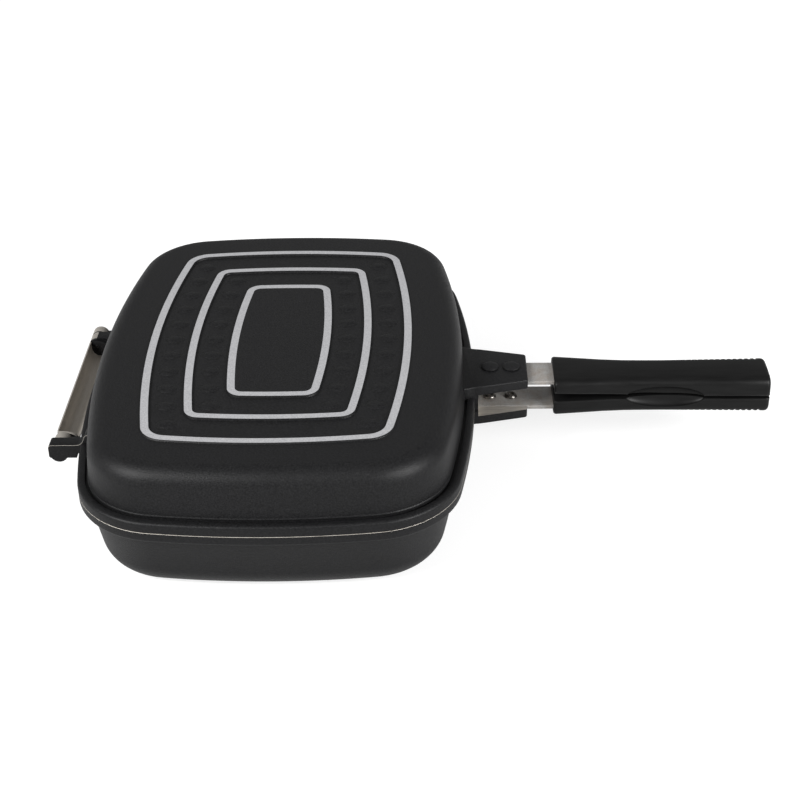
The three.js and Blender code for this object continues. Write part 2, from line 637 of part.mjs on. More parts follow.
function gripScrew() {
  const seat = SCREW_SEAT - CLEARANCE;
  return turned([
    [0, seat - SCREW_HEAD_HEIGHT],
    [SCREW_HEAD_RADIUS * DOME_SHARES[1], seat - SCREW_HEAD_HEIGHT],
    [SCREW_HEAD_RADIUS, seat - SCREW_HEAD_HEIGHT / 2],
    [SCREW_HEAD_RADIUS, seat],
    [SCREW_RADIUS, seat],
    [SCREW_RADIUS, STRAP_TOP + SCREW_TIP / 2],
    [SCREW_RADIUS / 2, STRAP_TOP + SCREW_TIP],
    [0, STRAP_TOP + SCREW_TIP],
  ]);
}

function magnet() {
  return turned(
    [
      [0, LID_PARTING_FACE],
      [MAGNET_RADIUS - SEAL_BEVEL, LID_PARTING_FACE],
      [MAGNET_RADIUS, LID_PARTING_FACE + SEAL_BEVEL],
      [MAGNET_RADIUS, LID_PARTING_FACE + MAGNET_THICKNESS],
      [0, LID_PARTING_FACE + MAGNET_THICKNESS],
    ],
    ROUND_STEPS,
  );
}

// Silicone ring that lies in the lower groove and reaches into the upper one.
function seal() {
  const bottom = CLEARANCE - LOWER_GROOVE_DEPTH - LID_PARTING_FACE;
  const top = LID_PARTING_FACE + UPPER_GROOVE_DEPTH - CLEARANCE;
  const outer = SEAL_INSET + CLEARANCE;
  const inner = SEAL_INSET + SEAL_GROOVE_WIDTH - CLEARANCE;
  const outside = skin([
    rimLevel(outer + SEAL_BEVEL, top),
    rimLevel(outer, top - SEAL_BEVEL),
    rimLevel(outer, bottom),
  ]);
  return outside.subtract(skin([rimLevel(inner, top + CUT_OVERRUN), rimLevel(inner, bottom - CUT_OVERRUN)]));
}

// Oil tray: a half-round stainless trough, low on the pan's side so that the open rim passes over it.
function drippingTray() {
  const inside = TRAY_RADIUS - TRAY_SHEET;
  const section = new THREE.Shape();
  section.moveTo(TRAY_PLACE - TRAY_RADIUS, TRAY_LIP_RISE);
  section.lineTo(TRAY_PLACE - TRAY_RADIUS, -TRAY_DROP);
  section.absarc(TRAY_PLACE, -TRAY_DROP, TRAY_RADIUS, Math.PI, 2 * Math.PI, false);
  section.lineTo(TRAY_PLACE + inside, -TRAY_DROP);
  section.absarc(TRAY_PLACE, -TRAY_DROP, inside, 0, Math.PI, true);
  section.lineTo(TRAY_PLACE - inside, TRAY_LIP_RISE);
  section.closePath();
  return plateAcross(section, -TRAY_HALF_WIDTH, TRAY_HALF_WIDTH);
}

// End of the tray: a plate with the trough's outline, rounded down from the outer lip to the inner one, which
// hangs on the pin.
function trayEnd() {
  const left = TRAY_PLACE - TRAY_RADIUS;
  const right = TRAY_PLACE + TRAY_RADIUS;
  const section = new THREE.Shape();
  section.moveTo(left, TRAY_LIP_RISE);
  section.lineTo(left, -TRAY_DROP);
  section.absarc(TRAY_PLACE, -TRAY_DROP, TRAY_RADIUS, Math.PI, 2 * Math.PI, false);
  section.quadraticCurveTo(right, TRAY_LIP_RISE, left, TRAY_LIP_RISE);
  const holeEnds = [TRAY_END_INNER - CUT_OVERRUN, TRAY_END_OUTER + CUT_OVERRUN];
  const hole = bar(PIN_PLACE, -PIN_DROP, SPIGOT_RADIUS + PIN_RUNNING_CLEARANCE, ...holeEnds);
  return plateAcross(section, TRAY_END_INNER, TRAY_END_OUTER).subtract(hole);
}

// Hinge pin along Y, put in from the tray's side: a shank through the inner lug of its pair into the outer
// one, and a spigot that carries the tray.
function hingePin() {
  const shoulder = LUG_PAIR_INNER;
  const start = shoulder - SPIGOT_REACH;
  const end = LUG_PAIR_OUTER - PIN_COVER - CLEARANCE;
  const points = [
    [0, start],
    [SPIGOT_RADIUS - PIN_BEVEL, start],
    [SPIGOT_RADIUS, start + PIN_BEVEL],
    [SPIGOT_RADIUS, shoulder],
    [PIN_RADIUS, shoulder],
    [PIN_RADIUS, end - PIN_BEVEL],
    [PIN_RADIUS - PIN_BEVEL, end],
    [0, end],
  ];
  const profile = points.map(([radius, y]) => new THREE.Vector2(radius, y));
  return new THREE.LatheGeometry(profile, ROUND_STEPS).translate(PIN_PLACE, 0, -PIN_DROP);
}

function piece(name, shape, finish) {
  const geometry = shape.isBufferGeometry ? shape : geometryOf(shape);
  const mesh = new THREE.Mesh(geometry, finish);
  mesh.name = name;
  return mesh;
}

// One half of the pan with its handle.
function halfPan(side, spec) {
  const half = new THREE.Group();
  half.add(piece(`${side}_pan`, pan(spec), castCoating));
  half.add(piece(`${side}_strap`, strap(), strapSteel));
  half.add(piece(`${side}_grip`, grip(), gripPlastic));
  ["inner", "outer"].forEach((which, i) => {
    const fixing = piece(`${side}_rivet_${which}`, rivet(), coatedSteel);
    fixing.position.x = RIVET_PLACES[i];
    const screw = piece(`${side}_grip_screw_${which}`, gripScrew(), strapSteel);
    screw.position.x = SCREW_PLACES[i];
    half.add(fixing, screw);
  });
  const catchMagnet = piece(`${side}_magnet`, magnet(), magnetNickel);
  catchMagnet.position.x = MAGNET_PLACE;
  half.add(catchMagnet);
  half.position.z = PARTING_HEIGHT;
  return half;
}

const flipPan = new THREE.Group();

const upperHalf = halfPan("upper", {
  depth: UPPER_DEPTH,
  shoulderRadius: UPPER_SHOULDER_RADIUS,
  wallAngle: UPPER_WALL_ANGLE,
  ledgeWidth: UPPER_LEDGE_WIDTH,
  grooveDepth: UPPER_GROOVE_DEPTH,
  outerLug: blockLug,
  lugThickness: UPPER_LUG_THICKNESS,
  pinHeight: -PIN_DROP,
  neckDrop: LUG_DROP,
});
const lowerHalf = halfPan("lower", {
  depth: LOWER_DEPTH,
  shoulderRadius: LOWER_SHOULDER_RADIUS,
  wallAngle: LOWER_WALL_ANGLE,
  ledgeWidth: LOWER_LEDGE_WIDTH,
  grooveDepth: LOWER_GROOVE_DEPTH,
  outerLug: knuckleLug,
  lugThickness: LOWER_LUG_THICKNESS,
  pinHeight: PIN_DROP,
  neckDrop: LOWER_NECK_DROP,
});
lowerHalf.rotation.x = Math.PI;

const hinge = new THREE.Group();
hinge.position.z = PARTING_HEIGHT;
hinge.add(piece("seal", seal(), siliconeRubber));
hinge.add(piece("drip_tray", drippingTray(), stainlessSteel));
hinge.add(piece("drip_tray_end_far", trayEnd(), stainlessSteel));
hinge.add(piece("drip_tray_end_near", trayEnd().mirror([0, 1, 0]), stainlessSteel));
hinge.add(piece("hinge_pin_far", solid(hingePin()), coatedSteel));
hinge.add(piece("hinge_pin_near", solid(hingePin()).mirror([0, 1, 0]), coatedSteel));

flipPan.add(upperHalf, lowerHalf, hinge);

export default flipPan;
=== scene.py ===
# %% [markdown]
# Double sided flip pan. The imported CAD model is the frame: it says where each piece is and how the lid
# turns. Its casting, grips and straps are right in size but drawn with few facets, so each node gets a
# finer piece here that stands in the same place, with the finish of the real one.
# Sizes are written in millimetres and turned to metres by MM, so that they can be read like a drawing.

import math

import bmesh
import bpy
from mathutils import Matrix, Vector
from mathutils.geometry import intersect_sphere_sphere_2d


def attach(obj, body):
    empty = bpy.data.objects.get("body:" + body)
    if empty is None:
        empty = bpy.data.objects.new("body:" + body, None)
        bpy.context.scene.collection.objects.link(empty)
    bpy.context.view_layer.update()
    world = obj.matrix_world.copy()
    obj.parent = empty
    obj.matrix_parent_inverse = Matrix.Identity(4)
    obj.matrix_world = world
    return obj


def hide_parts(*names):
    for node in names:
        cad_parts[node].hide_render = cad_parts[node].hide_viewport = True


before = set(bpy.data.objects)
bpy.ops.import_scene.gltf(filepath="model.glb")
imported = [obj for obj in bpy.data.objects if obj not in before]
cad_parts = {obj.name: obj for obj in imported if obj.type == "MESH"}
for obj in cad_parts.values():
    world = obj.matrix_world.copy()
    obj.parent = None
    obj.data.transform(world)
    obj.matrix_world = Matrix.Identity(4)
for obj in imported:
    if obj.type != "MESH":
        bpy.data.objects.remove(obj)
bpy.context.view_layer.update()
MM = 0.001

# %% [markdown]
# The photograph is taken from above the near side, with a long lens, and turned a little to the left. A
# camera could be placed by eye with its rotation angles. Here its three axes are worked out instead from
# the pitch, yaw and roll that were fitted to the rim and the raised bands, which leaves no guesswork.

# %% Camera
PITCH, YAW, ROLL = 0.5483, 0.0266, 0.0205
CAMERA_PLACE = 0.0959, -0.8695, 0.5693
FOCAL_PIXELS, FRAME_PIXELS, SENSOR = 1609.03, 800, 36
ahead = Vector((-math.sin(YAW) * math.cos(PITCH), math.cos(YAW) * math.cos(PITCH), -math.sin(PITCH)))
level = Vector((math.cos(YAW), math.sin(YAW), 0))
down = ahead.cross(level)
right = level * math.cos(ROLL) + down * math.sin(ROLL)
below = down * math.cos(ROLL) - level * math.sin(ROLL)
camera_data = bpy.data.cameras.new("photo_camera")
camera_data.sensor_width = SENSOR
camera_data.lens = FOCAL_PIXELS * SENSOR / FRAME_PIXELS
camera_data.clip_end = 50
camera = bpy.data.objects.new("photo_camera", camera_data)
axes = Matrix((right, -below, -ahead)).transposed().to_4x4()
camera.matrix_world = Matrix.Translation(CAMERA_PLACE) @ axes
bpy.context.scene.collection.objects.link(camera)
bpy.context.scene.camera = camera
print("lens", round(camera_data.lens, 1), "mm")

# %% [markdown]
# Every finish is a small node tree. One function turns an sRGB hex value, as a colour picker shows it, to
# the linear numbers that Blender works in, and one adds a node with its settings and its links. A new
# material starts as a Principled shader whose sockets hold what is the same all over the piece. A grain is
# noise of a given size in mm, and it is then spread between two shades or two values of roughness.

# %% Helpers for finishes
def linear(code):
    parts = [int(code[i : i + 2], 16) / 255 for i in (1, 3, 5)]
    return [p / 12.92 if p <= 0.04045 else ((p + 0.055) / 1.055) ** 2.4 for p in parts] + [1]


def add(tree, kind, links=None, **settings):
    node = tree.nodes.new("ShaderNode" + kind)
    for name, value in settings.items():
        if hasattr(node, name):
            setattr(node, name, value)
        else:
            node.inputs[name.replace("_", " ")].default_value = value
    for socket, source in (links or {}).items():
        tree.links.new(source, node.inputs[socket])
    return node


def finish(name, colour, metallic, roughness, **sockets):
    material = bpy.data.materials.new(name)
    material.use_nodes = True
    shader = material.node_tree.nodes["Principled BSDF"]
    shader.inputs["Base Color"].default_value = linear(colour)
    shader.inputs["Metallic"].default_value = metallic
    shader.inputs["Roughness"].default_value = roughness
    for socket, value in sockets.items():
        shader.inputs[socket.replace("_", " ")].default_value = value
    return material, material.node_tree, shader


def grain(tree, size, stretch=(1, 1, 1), detail=4, roughness=0.6):
    place = add(tree, "TexCoord").outputs["Object"]
    stretched = add(tree, "Mapping", {"Vector": place}, Scale=stretch).outputs["Vector"]
    scale = 1 / (size * MM)
    noise = add(tree, "TexNoise", {"Vector": stretched}, Scale=scale, Detail=detail, Roughness=roughness)
    return noise.outputs["Fac"]


def shades(tree, factor, low, dark, high, light):
    ramp = add(tree, "ValToRGB", {"Fac": factor})
    ends = ramp.color_ramp.elements
    ends[0].position, ends[1].position = low, high
    ends[0].color, ends[1].color = linear(dark), linear(light)
    return ramp.outputs["Color"]


def between(tree, factor, low, high):
    return add(tree, "MapRange", {"Value": factor}, To_Min=low, To_Max=high).outputs["Result"]


def relief(tree, shader, height, depth):
    bump = add(tree, "Bump", {"Height": height}, Distance=depth * MM)
    tree.links.new(bump.outputs["Normal"], shader.inputs["Normal"])


def times(tree, source, factor):
    product = add(tree, "Math", {0: source}, operation="MULTIPLY")
    product.inputs[1].default_value = factor
    return product.outputs[0]


# %% [markdown]
# The two pans are die-cast aluminium, sprayed outside with a matt charcoal non-stick coating and baked. The
# spray dries in a fine grain of about half a millimetre, too fine to show here, so it is drawn 0.9 mm
# coarse. It varies the shade, the roughness and the surface together, as the thickness of the coat does.

# %% Sprayed charcoal non-stick coating
coating, tree, shader = finish("sprayed_charcoal_nonstick", "#161616", 0, 0.4, Specular_IOR_Level=0.2)
fine = grain(tree, 0.9, roughness=0.7)
tree.links.new(shades(tree, fine, 0.3, "#0a0a0b", 0.7, "#222223"), shader.inputs["Base Color"])
tree.links.new(between(tree, fine, 0.34, 0.48), shader.inputs["Roughness"])
relief(tree, shader, fine, 0.18)

# %% [markdown]
# Inside, the coating is rolled on in two coats and burnished, so it is smoother and a little glossier, with
# faint pale flecks of mineral in it, about 0.6 mm across.

# %% Smooth non-stick of the cooking surface
inner_coating, tree, shader = finish("rolled_cooking_nonstick", "#232324", 0, 0.36, Specular_IOR_Level=0.5)
place = add(tree, "TexCoord").outputs["Object"]
cells = add(tree, "TexVoronoi", {"Vector": place}, Scale=1 / (2.2 * MM))
flecks = shades(tree, cells.outputs["Distance"], 0.12, "#5a5a5b", 0.2, "#202021")
tree.links.new(flecks, shader.inputs["Base Color"])
relief(tree, shader, grain(tree, 0.8), 0.015)

# %% [markdown]
# The raised bands carry a silver ink, pressed on with a roller. Aluminium flake in a clear binder is half
# metal and half paint to the eye: pale, even, and with a fine sparkle that follows the grain under it.

# %% Rolled silver ink
silver_ink, tree, shader = finish("rolled_silver_ink", "#bcbcbe", 0.35, 0.5)
flake = grain(tree, 0.7, detail=2, roughness=0.8)
tree.links.new(shades(tree, flake, 0.35, "#acacaf", 0.65, "#cacacc"), shader.inputs["Base Color"])
tree.links.new(between(tree, flake, 0.42, 0.58), shader.inputs["Roughness"])
relief(tree, shader, flake, 0.03)

# %% [markdown]
# The faces where the two pans meet, and those that carry the straps, are milled after coating, so the bare
# aluminium shows there. The cutter leaves close parallel lines along the casting, drawn about 0.8 mm apart,
# and they scatter the light, so the metal looks dull and evenly bright from every side.

# %% Milled bare aluminium
milled, tree, shader = finish("milled_aluminium", "#d2cec7", 1, 0.66)
lines = grain(tree, 0.8, stretch=(0.06, 1, 1), detail=2)
tree.links.new(shades(tree, lines, 0.3, "#bab5ad", 0.7, "#ded9d2"), shader.inputs["Base Color"])
tree.links.new(between(tree, lines, 0.58, 0.74), shader.inputs["Roughness"])
relief(tree, shader, lines, 0.02)

# %% [markdown]
# The straps are cut from hot-rolled mild steel and tumbled, which leaves a dull grey with a salt-and-pepper
# grain and cloudy warmer patches. The grain is about 0.7 mm and the clouds are about 9 mm across.

# %% Tumbled mild steel
strap_steel, tree, shader = finish("tumbled_mild_steel", "#a5a3a0", 0.45, 0.5)
salt = grain(tree, 0.7, detail=3, roughness=0.8)
cloud = grain(tree, 9, roughness=0.7)
pale = shades(tree, salt, 0.35, "#94928f", 0.65, "#bfbebc")
warm = shades(tree, salt, 0.35, "#8a837c", 0.65, "#b5aea7")
patch = add(tree, "MapRange", {"Value": cloud}, From_Min=0.42, From_Max=0.62).outputs["Result"]
blend = add(tree, "Mix", {"Factor": patch, 6: pale, 7: warm}, data_type="RGBA")
tree.links.new(blend.outputs[2], shader.inputs["Base Color"])
tree.links.new(between(tree, salt, 0.36, 0.56), shader.inputs["Roughness"])
relief(tree, shader, salt, 0.03)

# %% [markdown]
# The grips are black phenolic, pressed in a mould that has lost its polish. They come out deep black with a
# soft sheen, a faint orange-peel waviness of about 3 mm, and fine flow marks along the length.

# %% Moulded black phenolic
phenolic, tree, shader = finish("moulded_black_phenolic", "#0d0d0d", 0, 0.42, Specular_IOR_Level=0.2)
peel = grain(tree, 3, detail=2)
flow = grain(tree, 2.5, stretch=(0.12, 1, 1), detail=3)
tree.links.new(shades(tree, flow, 0.3, "#0b0b0b", 0.7, "#131313"), shader.inputs["Base Color"])
tree.links.new(between(tree, flow, 0.36, 0.48), shader.inputs["Roughness"])
relief(tree, shader, peel, 0.04)

# %% [markdown]
# The oil tray is pressed from thin stainless sheet. The sheet comes brushed along its length, so the lines
# run along the trough, about 0.5 mm apart. It is drawn less than half metallic: a real brushed sheet blurs
# what it mirrors so far that it looks like a warm grey paint.

# %% Brushed stainless sheet
stainless, tree, shader = finish("brushed_stainless_sheet", "#cdc8bf", 0.38, 0.46)
brushed = grain(tree, 0.5, stretch=(1, 0.08, 1), detail=3)
tree.links.new(shades(tree, brushed, 0.3, "#b4aea5", 0.7, "#c3bdb5"), shader.inputs["Base Color"])
tree.links.new(between(tree, brushed, 0.42, 0.54), shader.inputs["Roughness"])
relief(tree, shader, brushed, 0.012)

# %% [markdown]
# The rivets' heads and the hinge pins are steel that went through the coating oven with the pan. The
# rivets' tails and the grip screws stay bare: turned and lightly oiled steel, darker than the strap. The
# magnets are nickel plated, and the seal is extruded silicone, matt with a slight bloom.

# %% Rivet, pin, magnet and seal finishes
coated_rivet, tree, shader = finish("coated_rivet_steel", "#191919", 0, 0.5, Specular_IOR_Level=0.2)
fine = grain(tree, 0.9, detail=3)
tree.links.new(shades(tree, fine, 0.3, "#131314", 0.7, "#1f1f20"), shader.inputs["Base Color"])
relief(tree, shader, fine, 0.04)

turned_steel, tree, shader = finish("oiled_turned_steel", "#6e6b68", 1, 0.3)
rings = grain(tree, 0.6, stretch=(1, 1, 0.2), detail=3)
tree.links.new(shades(tree, rings, 0.3, "#55524f", 0.7, "#86827e"), shader.inputs["Base Color"])
relief(tree, shader, rings, 0.02)

nickel, tree, shader = finish("plated_nickel", "#b9b6ae", 1, 0.18)
plate = grain(tree, 1.5, detail=3)
tree.links.new(between(tree, plate, 0.12, 0.26), shader.inputs["Roughness"])
tree.links.new(shades(tree, plate, 0.3, "#aeaaa1", 0.7, "#c4c1ba"), shader.inputs["Base Color"])

silicone, tree, shader = finish("extruded_silicone", "#35322f", 0, 0.62)
bloom = grain(tree, 4)
tree.links.new(shades(tree, bloom, 0.35, "#2e2b29", 0.7, "#413e3b"), shader.inputs["Base Color"])
relief(tree, shader, grain(tree, 0.5), 0.02)
print(len(bpy.data.materials), "materials")

# %% [markdown]
# The pan is photographed on white with broad soft light: one bank in front to the left, one lower down to
# the right, and a faint even sky. A plain pale floor gives the reflected light from below. Light Path lifts
# it to white where the camera sees it, so no extra light has to fall on the pan, and the shadow stays. What
# glossy pieces mirror of it is lifted by a smaller share, because the walls would look grey otherwise.

# %% Floor and light
FLOOR_HALF, CAMERA_LIFT, MIRROR_SHARE, SKY_STRENGTH = 8, 0.72, 0.3, 0.28
LAMP_TARGET = Vector((0, 0, 0.05))
stage_bm = bmesh.new()
bmesh.ops.create_grid(stage_bm, x_segments=1, y_segments=1, size=FLOOR_HALF)
stage_mesh = bpy.data.meshes.new("floor")
stage_bm.to_mesh(stage_mesh)
floor = bpy.data.objects.new("floor", stage_mesh)
bpy.context.scene.collection.objects.link(floor)
paper = bpy.data.materials.new("white_paper_floor")
paper.use_nodes = True
tree = paper.node_tree
tree.nodes.clear()
diffuse = add(tree, "BsdfDiffuse", Color=linear("#b4b4b4"))
path = add(tree, "LightPath").outputs
mirrored = add(tree, "Math", {0: path["Is Glossy Ray"], 1: path["Is Transmission Ray"]}, operation="MAXIMUM")
dimmed = times(tree, mirrored.outputs[0], MIRROR_SHARE)
seen = add(tree, "Math", {0: path["Is Camera Ray"], 1: dimmed}, operation="MAXIMUM")
lift = times(tree, seen.outputs[0], CAMERA_LIFT)
glow = add(tree, "Emission", {"Strength": lift}, Color=linear("#ffffff"))
both = add(tree, "AddShader", {0: diffuse.outputs[0], 1: glow.outputs[0]})
add(tree, "OutputMaterial", {"Surface": both.outputs[0]})
floor.data.materials.append(paper)

world = bpy.data.worlds.new("even_sky")
bpy.context.scene.world = world
world.use_nodes = True
sky = world.node_tree.nodes["Background"].inputs
sky["Color"].default_value = linear("#ffffff")
sky["Strength"].default_value = SKY_STRENGTH


def soft_bank(name, place, side, power):
    """A square bank of light at this place in metres, turned to the middle of the pan."""
    lamp = bpy.data.lights.new(name, "AREA")
    lamp.shape, lamp.size, lamp.energy = "SQUARE", side, power
    holder = bpy.data.objects.new(name, lamp)
    aim = (LAMP_TARGET - Vector(place)).to_track_quat("-Z", "Y")
    holder.matrix_world = Matrix.Translation(place) @ aim.to_matrix().to_4x4()
    bpy.context.scene.collection.objects.link(holder)


soft_bank("left_bank", place=(-1.5, -1.15, 1.45), side=1, power=58)
soft_bank("right_bank", place=(1.7, -1.2, 0.95), side=0.9, power=50)
bpy.context.scene.view_settings.view_transform = "Standard"
print("floor, sky and", len(bpy.data.lights), "lamps")

# %% [markdown]
# Every piece is modelled in a bmesh, in the frame of its own half: height is counted from the plane where
# the pans part, and the lower half is the same drawing turned over about X. A finished piece is one object
# at the origin that rides on its body and replaces its CAD node. A pan has four finishes, told apart by
# their numbers. A tool that cuts through a piece reaches past it by CUT_PAST, so that no skin is left.

# %% Helpers for pieces
PARTING_HEIGHT, WELD, LEVEL, CUT_PAST = 48, 0.002, 0.01, 4
BODY = {"upper": "lid", "lower": "base"}
SMOOTH_ANGLE = math.radians(32)
PAN_FINISHES = coating, silver_ink, milled, inner_coating
COATED, INKED, MILLED, COOKING = range(4)


def closed(bm):
    bmesh.ops.remove_doubles(bm, verts=bm.verts, dist=WELD * MM)
    bmesh.ops.recalc_face_normals(bm, faces=bm.faces)
    return bm


def moved(bm, x=0, y=0, z=0):
    bmesh.ops.translate(bm, verts=bm.verts, vec=(x * MM, y * MM, z * MM))
    return bm


def tipped(bm, degrees):
    """The same piece, turned about X."""
    turn = Matrix.Rotation(math.radians(degrees), 3, "X")
    bmesh.ops.rotate(bm, verts=bm.verts, cent=(0, 0, 0), matrix=turn)
    return bm


def mirrored_across(bm):
    """The same piece for the other end of the hinge."""
    bmesh.ops.scale(bm, verts=bm.verts, vec=(1, -1, 1))
    bmesh.ops.recalc_face_normals(bm, faces=bm.faces)
    return bm


def rounded(bm, edges, size, segments):
    """Rounds these edges by size in mm and gives back the new faces."""
    made = bmesh.ops.bevel(
        bm, geom=edges, offset=size * MM, affect="EDGES", segments=segments, profile=0.5, material=-1
    )
    return made["faces"]


def finished(bm, node, materials, half=None):
    body = BODY[half] if half else "base"
    if half == "lower":
        tipped(bm, 180)
    moved(bm, z=PARTING_HEIGHT)
    for face in bm.faces:
        face.smooth = True
    mesh = bpy.data.meshes.new("fine_" + node)
    bm.to_mesh(mesh)
    bm.free()
    mesh.set_sharp_from_angle(angle=SMOOTH_ANGLE)
    for material in materials:
        mesh.materials.append(material)
    piece = bpy.data.objects.new("fine_" + node, mesh)
    bpy.context.scene.collection.objects.link(piece)
    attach(piece, body)
    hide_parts(node)
    print(piece.name, len(mesh.polygons), "faces")


def carved(bm, tool, operation="DIFFERENCE"):
    """The solid bm joined with, or cut by, the solid tool. Cut faces keep the tool's finish number."""
    pair = []
    for source in (bm, tool):
        mesh = bpy.data.meshes.new("carving")
        source.to_mesh(mesh)
        source.free()
        for material in PAN_FINISHES:
            mesh.materials.append(material)
        thing = bpy.data.objects.new("carving", mesh)
        bpy.context.scene.collection.objects.link(thing)
        pair.append(thing)
    modifier = pair[0].modifiers.new("carve", "BOOLEAN")
    modifier.operation, modifier.solver, modifier.object = operation, "EXACT", pair[1]
    result = bmesh.new()
    result.from_object(pair[0], bpy.context.evaluated_depsgraph_get())
    for thing in pair:
        mesh = thing.data
        bpy.data.objects.remove(thing)
        bpy.data.meshes.remove(mesh)
    return result


def turned(profile, steps=48):
    """A solid turned about Z from a profile of (radius, height) in mm, from the axis out and back to it."""
    bm = bmesh.new()
    line = [bm.verts.new((radius * MM, 0, height * MM)) for radius, height in profile]
    edges = [bm.edges.new(pair) for pair in zip(line, line[1:])]
    whole = 2 * math.pi
    bmesh.ops.spin(
        bm, geom=line + edges, cent=(0, 0, 0), axis=(0, 0, 1), angle=whole, steps=steps, use_merge=True
    )
    return closed(bm)


def rod(radius, low, high, steps=48):
    return turned([(0, low), (radius, low), (radius, high), (0, high)], steps)


def block(x0, x1, y0, y1, z0, z1):
    """A block between two corners in mm."""
    bm = bmesh.new()
    middle = Vector(((x0 + x1) / 2, (y0 + y1) / 2, (z0 + z1) / 2)) * MM
    size = Matrix.Diagonal(((x1 - x0) * MM, (y1 - y0) * MM, (z1 - z0) * MM, 1))
    bmesh.ops.create_cube(bm, size=1, matrix=Matrix.Translation(middle) @ size)
    return bm


def slab(points, low, high, across=False):
    """A flat outline in mm drawn out to a slab: along Z, or along Y where across is set."""
    bm = bmesh.new()
    start = low * MM
    flat = [(a * MM, b * MM) for a, b in points]
    face = bm.faces.new([bm.verts.new((a, start, b) if across else (a, b, start)) for a, b in flat])
    out = bmesh.ops.extrude_face_region(bm, geom=[face])["geom"]
    drawn_out = [g for g in out if isinstance(g, bmesh.types.BMVert)]
    step = (high - low) * MM
    bmesh.ops.translate(bm, verts=drawn_out, vec=(0, step, 0) if across else (0, 0, step))
    return closed(bm)


def merged(bm, others):
    """Puts other solids into the same bmesh, side by side and not joined."""
    for other in others:
        mesh = bpy.data.meshes.new("copy")
        other.to_mesh(mesh)
        other.free()
        bm.from_mesh(mesh)
        bpy.data.meshes.remove(mesh)
    return bm


# %% [markdown]
# The rim and every line that follows it is the same kind of outline: a rectangle whose sides bow outwards,
# with round corners. One quarter of it is a vertex spun through three arcs, which keeps the curves true and
# gives every outline the same number of vertices, so that neighbouring outlines can be bridged.

# %% Quarter outlines
RIM_HALF_LENGTH, RIM_HALF_WIDTH, RIM_CORNER = 119.8, 159.5, 54
SIDE_BOW, END_BOW = 640, 492
SIDE_STEPS, CORNER_STEPS, END_STEPS = 14, 18, 12


def quarter_outline(bm, half_length, half_width, corner_radius, height):
    side_radius = SIDE_BOW - (RIM_HALF_LENGTH - half_length)
    end_radius = END_BOW - (RIM_HALF_WIDTH - half_width)
    side = Vector((half_length - side_radius, 0))
    end = Vector((0, half_width - end_radius))
    meets = intersect_sphere_sphere_2d(side, side_radius - corner_radius, end, end_radius - corner_radius)
    corner = max(meets, key=lambda point: point.x)
    side_angle = math.atan2(corner.y - side.y, corner.x - side.x)
    end_angle = math.atan2(corner.y - end.y, corner.x - end.x)
    arcs = (
        (side, side_angle, SIDE_STEPS),
        (corner, end_angle - side_angle, CORNER_STEPS),
        (end, math.pi / 2 - end_angle, END_STEPS),
    )
    last = bm.verts.new((half_length * MM, 0, height * MM))
    known = set(bm.edges)
    for centre, turn, steps in arcs:
        pivot = Vector((centre.x, centre.y, height)) * MM
        made = bmesh.ops.spin(bm, geom=[last], cent=pivot, axis=(0, 0, 1), angle=turn, steps=steps)
        last = next(g for g in made["geom_last"] if isinstance(g, bmesh.types.BMVert))
    last.co.x = 0
    return [edge for edge in bm.edges if edge not in known]


def rim_line(inset, height, finish_number=COATED):
    """An outline that runs inside the rim by inset, with the finish of the faces that start from it."""
    return RIM_HALF_LENGTH - inset, RIM_HALF_WIDTH - inset, RIM_CORNER - inset, height, finish_number


def bridged(lines, ring=False):
    """Quarter outlines bridged in their order, and back to the first in a ring, then mirrored twice."""
    bm = bmesh.new()
    outlines = [quarter_outline(bm, *line[:4]) for line in lines]
    followers = outlines[1:] + outlines[:1] if ring else outlines[1:]
    for line, outline, follower in zip(lines, outlines, followers):
        for face in bmesh.ops.bridge_loops(bm, edges=outline + follower)["faces"]:
            face.material_index = line[4]
    for axis in "XY":
        everything = bm.verts[:] + bm.edges[:] + bm.faces[:]
        bmesh.ops.mirror(bm, geom=everything, axis=axis, merge_dist=WELD * MM)
    return closed(bm)


# %% [markdown]
# Outside, three raised bands run round the middle of each pan. They are cast with sloping flanks and soft
# edges of about a fifth of a millimetre, which is what catches the light, and the flat tops of the upper
# pan's bands are inked. The innermost encloses a plain raised panel, so it has no inner flank.

# %% Lines of the raised bands
BAND_WIDTH, BAND_PITCH, BAND_RISE, CHANNEL_SINK, DRAFT, SOFT_EDGE = 5, 25.1, 0.8, 0.5, 0.5, 0.22
OUTER_BAND = 81, 120.6
BAND_CORNERS, LEAST_CORNER = (16, 9.5, 9.5), 2


def band_lines(depth, inked):
    lines = []
    top, channel = depth + BAND_RISE, depth - CHANNEL_SINK
    for number, corner in reversed(list(enumerate(BAND_CORNERS))):

        def add_line(inset, height, finish_number=COATED):
            move = number * BAND_PITCH + inset
            radius = max(corner - inset, LEAST_CORNER)
            lines.append((OUTER_BAND[0] - move, OUTER_BAND[1] - move, radius, height, finish_number))

        if number < len(BAND_CORNERS) - 1:
            add_line(BAND_WIDTH + DRAFT, channel)
            add_line(BAND_WIDTH + SOFT_EDGE / 2, top - SOFT_EDGE)
        add_line(BAND_WIDTH - SOFT_EDGE, top, INKED if inked else COATED)
        add_line(SOFT_EDGE, top)
        add_line(-SOFT_EDGE / 2, top - SOFT_EDGE)
        add_line(-DRAFT, channel if number else depth)
    return lines


# %% [markdown]
# One pan is a stack of such lines: over the bands, round the shoulder, down the wall to the flange, across
# the milled joint face with its seal groove, and back up the inside. Only a quarter is bridged, and two
# mirrors make the rest. A low bead and a narrow groove at the foot of the wall give the light and the dark
# line seen there. The lower pan's rim has a bare edge of a tenth of a millimetre, the thin line all round.

